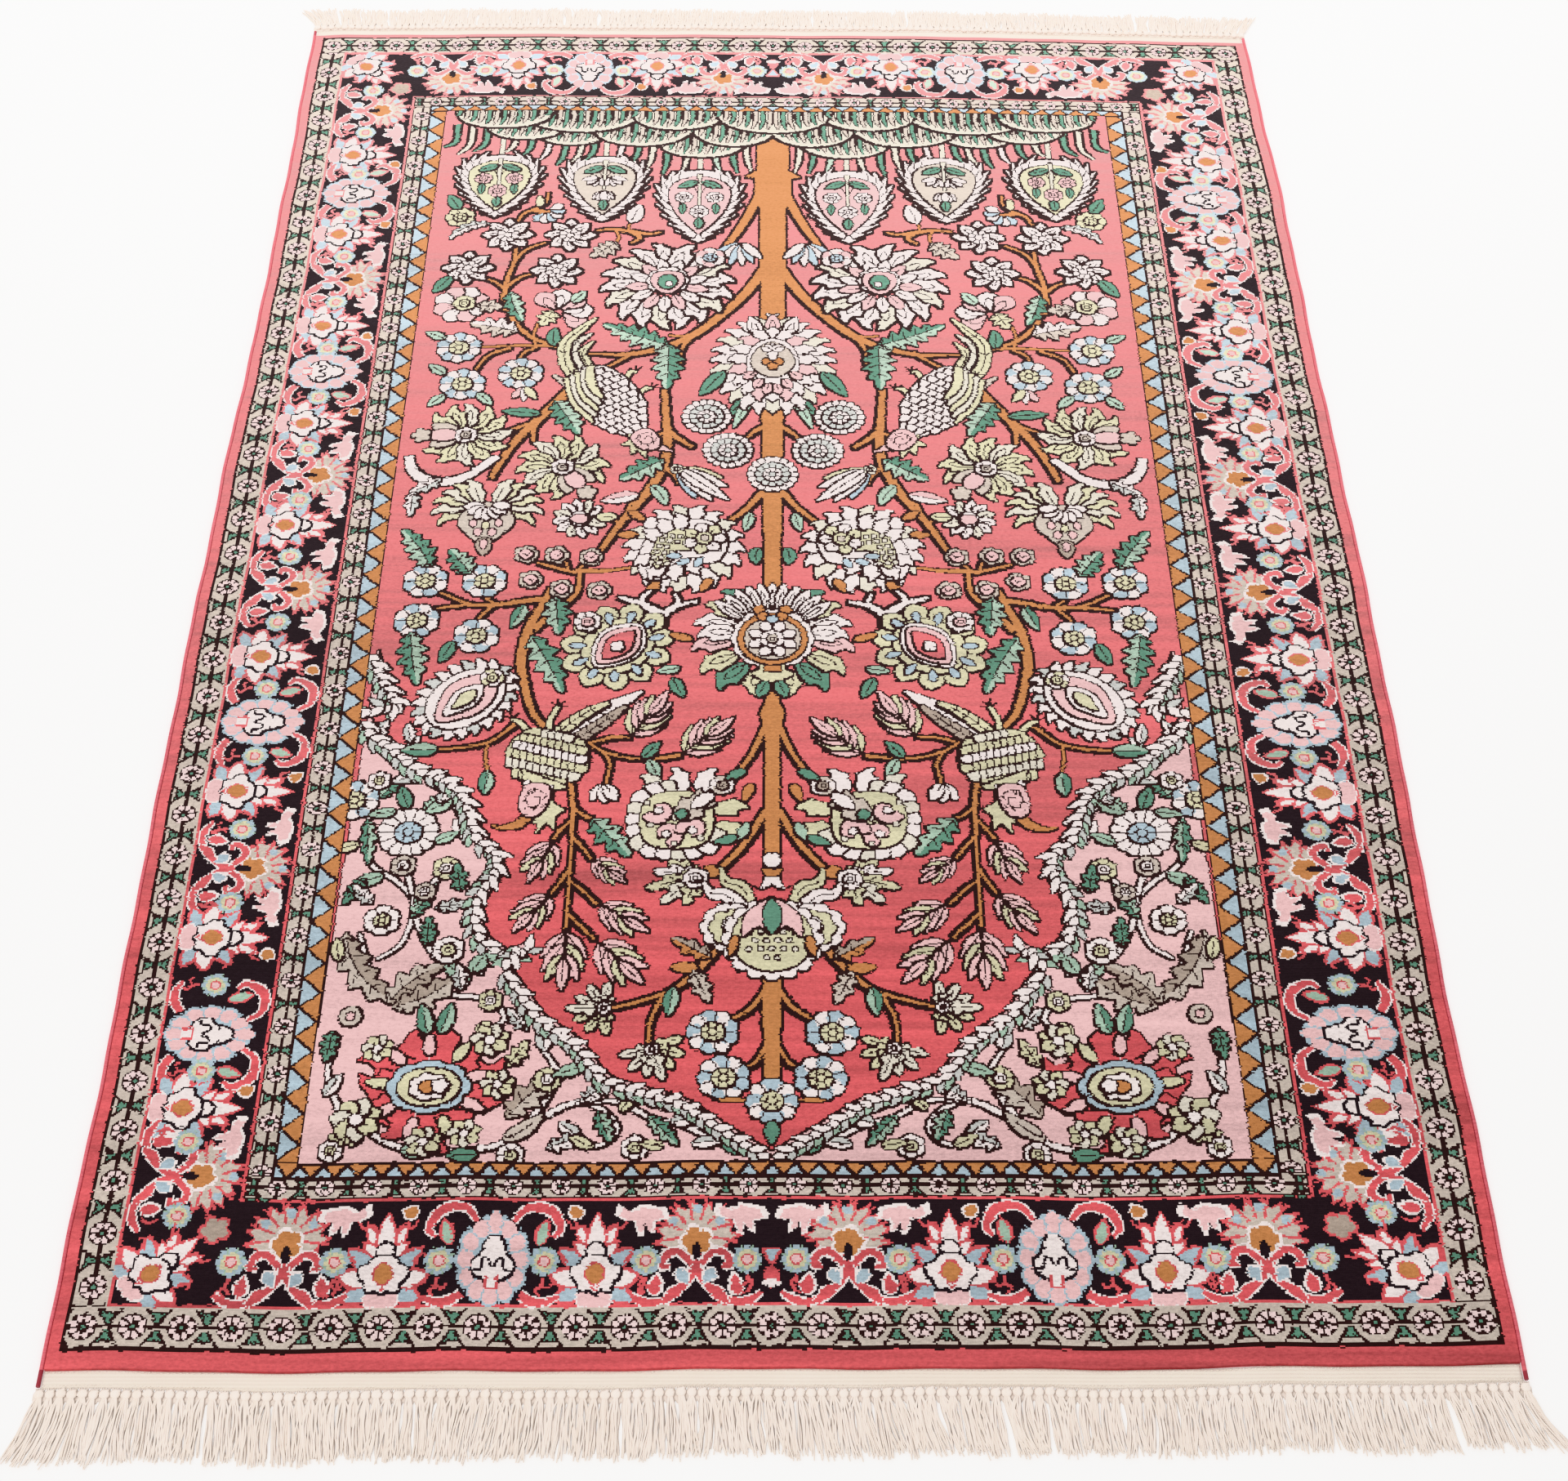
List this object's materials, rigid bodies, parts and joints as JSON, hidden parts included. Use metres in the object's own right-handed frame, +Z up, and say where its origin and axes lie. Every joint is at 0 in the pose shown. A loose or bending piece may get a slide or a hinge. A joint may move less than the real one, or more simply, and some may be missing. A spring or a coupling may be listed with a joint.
{
  "type": "fringed hand-knotted rug",
  "caption": "Flat rectangular hand-knotted pile rug with a floral tree field, patterned borders, overcast sides, flat-woven ends and knotted fringes; lies on a floor.",
  "frame": {"origin": "on the floor under the middle of the rug, fringes included", "axes": "+Z up out of the pile; +Y along the rug towards its far end, where the crown of the tree points; +X across the rug to the right"},
  "size_m": [1.2524, 2.0905, 0.0052],
  "materials": {
    "pile": "short silk pile, rose red ground with a floral pattern",
    "selvedge": "rose red overcast yarn",
    "flat_weave": "cream cotton flat weave",
    "fringe_yarn": "cream cotton warp yarns"
  },
  "bodies": {
    "root": {"pile": "pile", "selvedge_left": "selvedge", "selvedge_right": "selvedge", "kilim_near": "flat_weave", "kilim_far": "flat_weave", "fringe_near": "fringe_yarn", "fringe_far": "fringe_yarn"}
  },
  "joints": []
}
